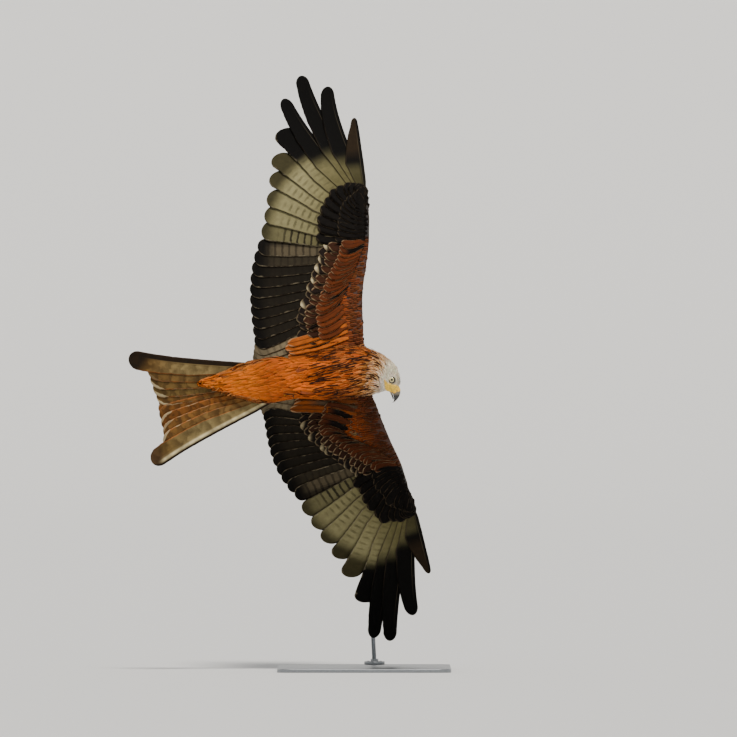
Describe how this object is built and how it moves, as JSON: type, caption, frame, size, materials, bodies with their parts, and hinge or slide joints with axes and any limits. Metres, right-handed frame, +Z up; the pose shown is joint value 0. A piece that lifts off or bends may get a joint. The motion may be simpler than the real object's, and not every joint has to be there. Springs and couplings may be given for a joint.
{
  "type": "life-size model of a red kite in flight, on a display stand",
  "caption": "Red kite modelled life size in a banked glide with its wings raised and head turned down to its left, held by a curved steel rod on a flat steel plate.",
  "frame": {"origin": "centre of the underside of the stand's plate, on the floor", "axes": "+Z up; +X the way the bird flies, its head end; -Y the side its belly faces, +Y the side its back faces"},
  "size_m": [0.7419, 0.54, 1.3808],
  "materials": {
    "belly_plumage": "rufous feathers with dark streaks",
    "neck_plumage": "pale rufous feathers with dark streaks",
    "head_plumage": "grey-white feathers finely streaked",
    "wing_plumage": "rufous, black and barred grey feathers",
    "tail_plumage": "rufous above, grey-buff below",
    "yellow_skin": "satin",
    "horn": "smooth horn",
    "eyeball": "glossy",
    "stand_steel": "satin grey paint"
  },
  "bodies": {
    "root": {"torso": "belly_plumage", "neck": "neck_plumage", "head": "head_plumage", "cere": "yellow_skin", "bill_upper": "horn", "bill_lower": "horn", "eye_right": "eyeball", "eye_left": "eyeball", "wing_right": "wing_plumage", "wing_left": "wing_plumage", "tail": "tail_plumage", "stand_base": "stand_steel", "stand_rod": "stand_steel", "leg_right": "belly_plumage", "foot_right": "yellow_skin", "claw_right_1": "horn", "claw_right_2": "horn", "claw_right_3": "horn", "claw_right_4": "horn", "leg_left": "belly_plumage", "foot_left": "yellow_skin", "claw_left_1": "horn", "claw_left_2": "horn", "claw_left_3": "horn", "claw_left_4": "horn"}
  },
  "joints": []
}
